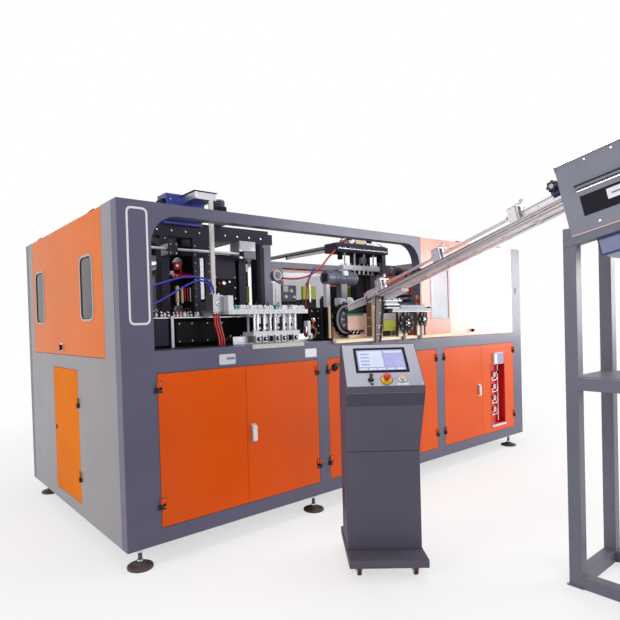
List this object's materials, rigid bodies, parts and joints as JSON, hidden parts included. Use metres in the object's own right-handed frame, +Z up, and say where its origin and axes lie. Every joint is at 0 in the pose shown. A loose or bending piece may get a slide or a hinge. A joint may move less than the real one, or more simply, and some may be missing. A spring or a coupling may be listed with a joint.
{
  "type": "blow moulding machine",
  "caption": "Linear stretch blow moulding machine: grey cabinet with orange doors and lifting guards, clamp unit, preform chute with feeder, and operator console on castors.",
  "frame": {"origin": "centre of the front left levelling foot's pad, on the floor", "axes": "+X along the front of the cabinet to the right, +Y from the front to the back, +Z up"},
  "size_m": [4.5035, 4.4537, 2.293],
  "materials": {
    "frame_grey": "satin",
    "end_grey": "satin",
    "orange": "gloss",
    "steel": "brushed",
    "dark_steel": "satin",
    "cast": "matte",
    "alu": "satin",
    "cream": "satin",
    "salmon": "satin",
    "lime": "satin",
    "blue_box": "gloss",
    "red": "gloss",
    "white": "gloss",
    "black_plastic": "matte",
    "pane": "clear",
    "blue_tube": "satin",
    "red_tube": "satin",
    "console": "satin",
    "display": "gloss",
    "red_plastic": "gloss",
    "white_plastic": "gloss",
    "hopper_grey": "satin"
  },
  "bodies": {
    "cabinet": {"back_frame": "frame_grey", "blue_hose_lower": "blue_tube", "blue_hose_upper": "blue_tube", "chute_rails": "steel", "clamp_base": "dark_steel", "clamp_portal": "dark_steel", "console_display": "display", "console_housing": "console", "control_cabinet": "white", "door_hinges": "steel", "drive_motors": "dark_steel", "end_frames": "end_grey", "feeder_frame": "console", "fixed_covers": "orange", "fixed_platens": "steel", "front_frame": "frame_grey", "gripper_bridge": "dark_steel", "hold_down": "alu", "hopper": "hopper_grey", "levelling_feet": "cast", "lime_covers": "lime", "loader_housing": "salmon", "loading_ledge": "cream", "loading_stand": "steel", "machine_bed": "dark_steel", "oven_body": "dark_steel", "red_hose_bundle": "red_tube", "rods_and_blocks": "steel", "stretch_drive": "blue_box", "tie_bars": "steel", "transfer_rail": "steel", "window_pane": "pane"},
    "front_door_one": {"front_door_one": "orange"},
    "front_door_two": {"front_door_two": "orange"},
    "front_door_three": {"front_door_three": "orange"},
    "front_door_four": {"front_door_four": "orange"},
    "front_door_five": {"front_door_five": "orange"},
    "front_door_six": {"front_door_six": "orange", "gauge_panel": "red"},
    "main_switch": {"main_switch": "black_plastic"},
    "door_latch_left": {"door_latch_left": "white_plastic"},
    "door_latch_right": {"door_latch_right": "white_plastic"},
    "left_end_door": {"left_end_door": "orange"},
    "service_guard": {"service_guard": "orange"},
    "front_mould": {"front_mould": "alu"},
    "back_mould": {"back_mould": "alu"},
    "stretch_bar": {"stretch_bar": "steel"},
    "transfer_carriage": {"transfer_carriage": "alu"},
    "gripper_bar": {"gripper_bar": "white"},
    "loading_wheel": {"loading_wheel": "dark_steel"},
    "star_wheel_one": {"star_wheel_one": "black_plastic"},
    "star_wheel_two": {"star_wheel_two": "black_plastic"},
    "star_knob": {"star_knob": "black_plastic"},
    "feed_roller_one": {"feed_roller_one": "steel"},
    "feed_roller_two": {"feed_roller_two": "steel"},
    "emergency_stop": {"emergency_stop": "red_plastic"},
    "selector_switch": {"selector_switch": "black_plastic"},
    "push_button": {"push_button": "white_plastic"},
    "left_guard": {"left_guard": "orange", "left_guard_panes": "pane"}
  },
  "joints": [
    {"name": "door_one_hinge", "type": "hinge", "parent": "cabinet", "child": "front_door_one", "pos_m": [0.1195, -0.06, 0.35], "axis": [0, 0, -1], "range_deg": [0, 90]},
    {"name": "door_two_hinge", "type": "hinge", "parent": "cabinet", "child": "front_door_two", "pos_m": [1.3775, -0.06, 0.35], "axis": [0, 0, 1], "range_deg": [0, 90]},
    {"name": "door_three_hinge", "type": "hinge", "parent": "cabinet", "child": "front_door_three", "pos_m": [1.4835, -0.06, 0.35], "axis": [0, 0, -1], "range_deg": [0, 90]},
    {"name": "door_four_hinge", "type": "hinge", "parent": "cabinet", "child": "front_door_four", "pos_m": [2.8395, -0.06, 0.35], "axis": [0, 0, 1], "range_deg": [0, 90]},
    {"name": "door_five_hinge", "type": "hinge", "parent": "cabinet", "child": "front_door_five", "pos_m": [2.9565, -0.06, 0.35], "axis": [0, 0, -1], "range_deg": [0, 90]},
    {"name": "door_six_hinge", "type": "hinge", "parent": "cabinet", "child": "front_door_six", "pos_m": [4.2165, -0.06, 0.35], "axis": [0, 0, 1], "range_deg": [0, 90]},
    {"name": "end_door_hinge", "type": "hinge", "parent": "cabinet", "child": "left_end_door", "pos_m": [-0.101, 0.7155, 0.387], "axis": [0, 0, 1], "range_deg": [0, 90]},
    {"name": "service_guard_lift", "type": "hinge", "parent": "cabinet", "child": "service_guard", "pos_m": [3.645, -0.041, 2.105], "axis": [-1, 0, 0], "range_deg": [0, 80]},
    {"name": "left_guard_lift", "type": "hinge", "parent": "cabinet", "child": "left_guard", "pos_m": [-0.082, 0.9895, 2.105], "axis": [0, 1, 0], "range_deg": [0, 80]},
    {"name": "left_latch_turn", "type": "hinge", "parent": "front_door_two", "child": "door_latch_left", "pos_m": [0.794, -0.066, 0.699], "axis": [0, -1, 0], "range_deg": [0, 90]},
    {"name": "right_latch_turn", "type": "hinge", "parent": "front_door_five", "child": "door_latch_right", "pos_m": [3.54, -0.066, 0.699], "axis": [0, 1, 0], "range_deg": [0, 90]},
    {"name": "main_switch_turn", "type": "hinge", "parent": "front_door_three", "child": "main_switch", "pos_m": [1.551, -0.066, 1.037], "axis": [0, 1, 0], "range_deg": [0, 90]},
    {"name": "front_mould_close", "type": "slide", "parent": "cabinet", "child": "front_mould", "axis": [0, 1, 0], "range_m": [0, 0.0699]},
    {"name": "back_mould_close", "type": "slide", "parent": "cabinet", "child": "back_mould", "axis": [0, -1, 0], "range_m": [0, 0.0699]},
    {"name": "stretch_stroke", "type": "slide", "parent": "cabinet", "child": "stretch_bar", "axis": [0, 0, -1], "range_m": [0, 0.15]},
    {"name": "gripper_stroke", "type": "slide", "parent": "cabinet", "child": "gripper_bar", "axis": [0, 0, -1], "range_m": [0, 0.06]},
    {"name": "carriage_travel", "type": "slide", "parent": "cabinet", "child": "transfer_carriage", "axis": [1, 0, 0], "range_m": [0, 0.12]},
    {"name": "loading_wheel_turn", "type": "hinge", "parent": "cabinet", "child": "loading_wheel", "pos_m": [1.942, 0.184, 1.396], "axis": [0, 1, 0], "continuous": true},
    {"name": "star_one_turn", "type": "hinge", "parent": "cabinet", "child": "star_wheel_one", "pos_m": [2.332, -0.084, 1.352], "axis": [0, 1, 0], "continuous": true},
    {"name": "star_two_turn", "type": "hinge", "parent": "cabinet", "child": "star_wheel_two", "pos_m": [2.557, -0.084, 1.38], "axis": [0, 1, 0], "continuous": true},
    {"name": "star_knob_turn", "type": "hinge", "parent": "cabinet", "child": "star_knob", "pos_m": [1.84418, -1.5282, 2.09546], "axis": [0.9877, -0.1564, 0], "continuous": true},
    {"name": "roller_one_turn", "type": "hinge", "parent": "cabinet", "child": "feed_roller_one", "pos_m": [1.81096, -1.66402, 2.00854], "axis": [0, 0.9781, -0.2079], "continuous": true},
    {"name": "roller_two_turn", "type": "hinge", "parent": "cabinet", "child": "feed_roller_two", "pos_m": [1.93296, -1.66402, 2.00854], "axis": [0, 0.9781, -0.2079], "continuous": true},
    {"name": "stop_press", "type": "slide", "parent": "cabinet", "child": "emergency_stop", "axis": [0.4292, 0.5115, -0.7444], "range_m": [0, 0.006]},
    {"name": "button_press", "type": "slide", "parent": "cabinet", "child": "push_button", "axis": [0.4292, 0.5115, -0.7444], "range_m": [0, 0.006], "stiffness_N_per_m": 400},
    {"name": "selector_turn", "type": "hinge", "parent": "cabinet", "child": "selector_switch", "pos_m": [0.88378, -0.99591, 1.06572], "axis": [-0.4292, -0.5115, 0.7444], "range_deg": [-45, 45]}
  ],
  "couplings": [
    {"joint": "back_mould_close", "follows": "front_mould_close", "ratio": 1},
    {"joint": "star_one_turn", "follows": "loading_wheel_turn", "ratio": 1.6},
    {"joint": "star_two_turn", "follows": "loading_wheel_turn", "ratio": 2.6667},
    {"joint": "roller_two_turn", "follows": "roller_one_turn", "ratio": -1}
  ]
}
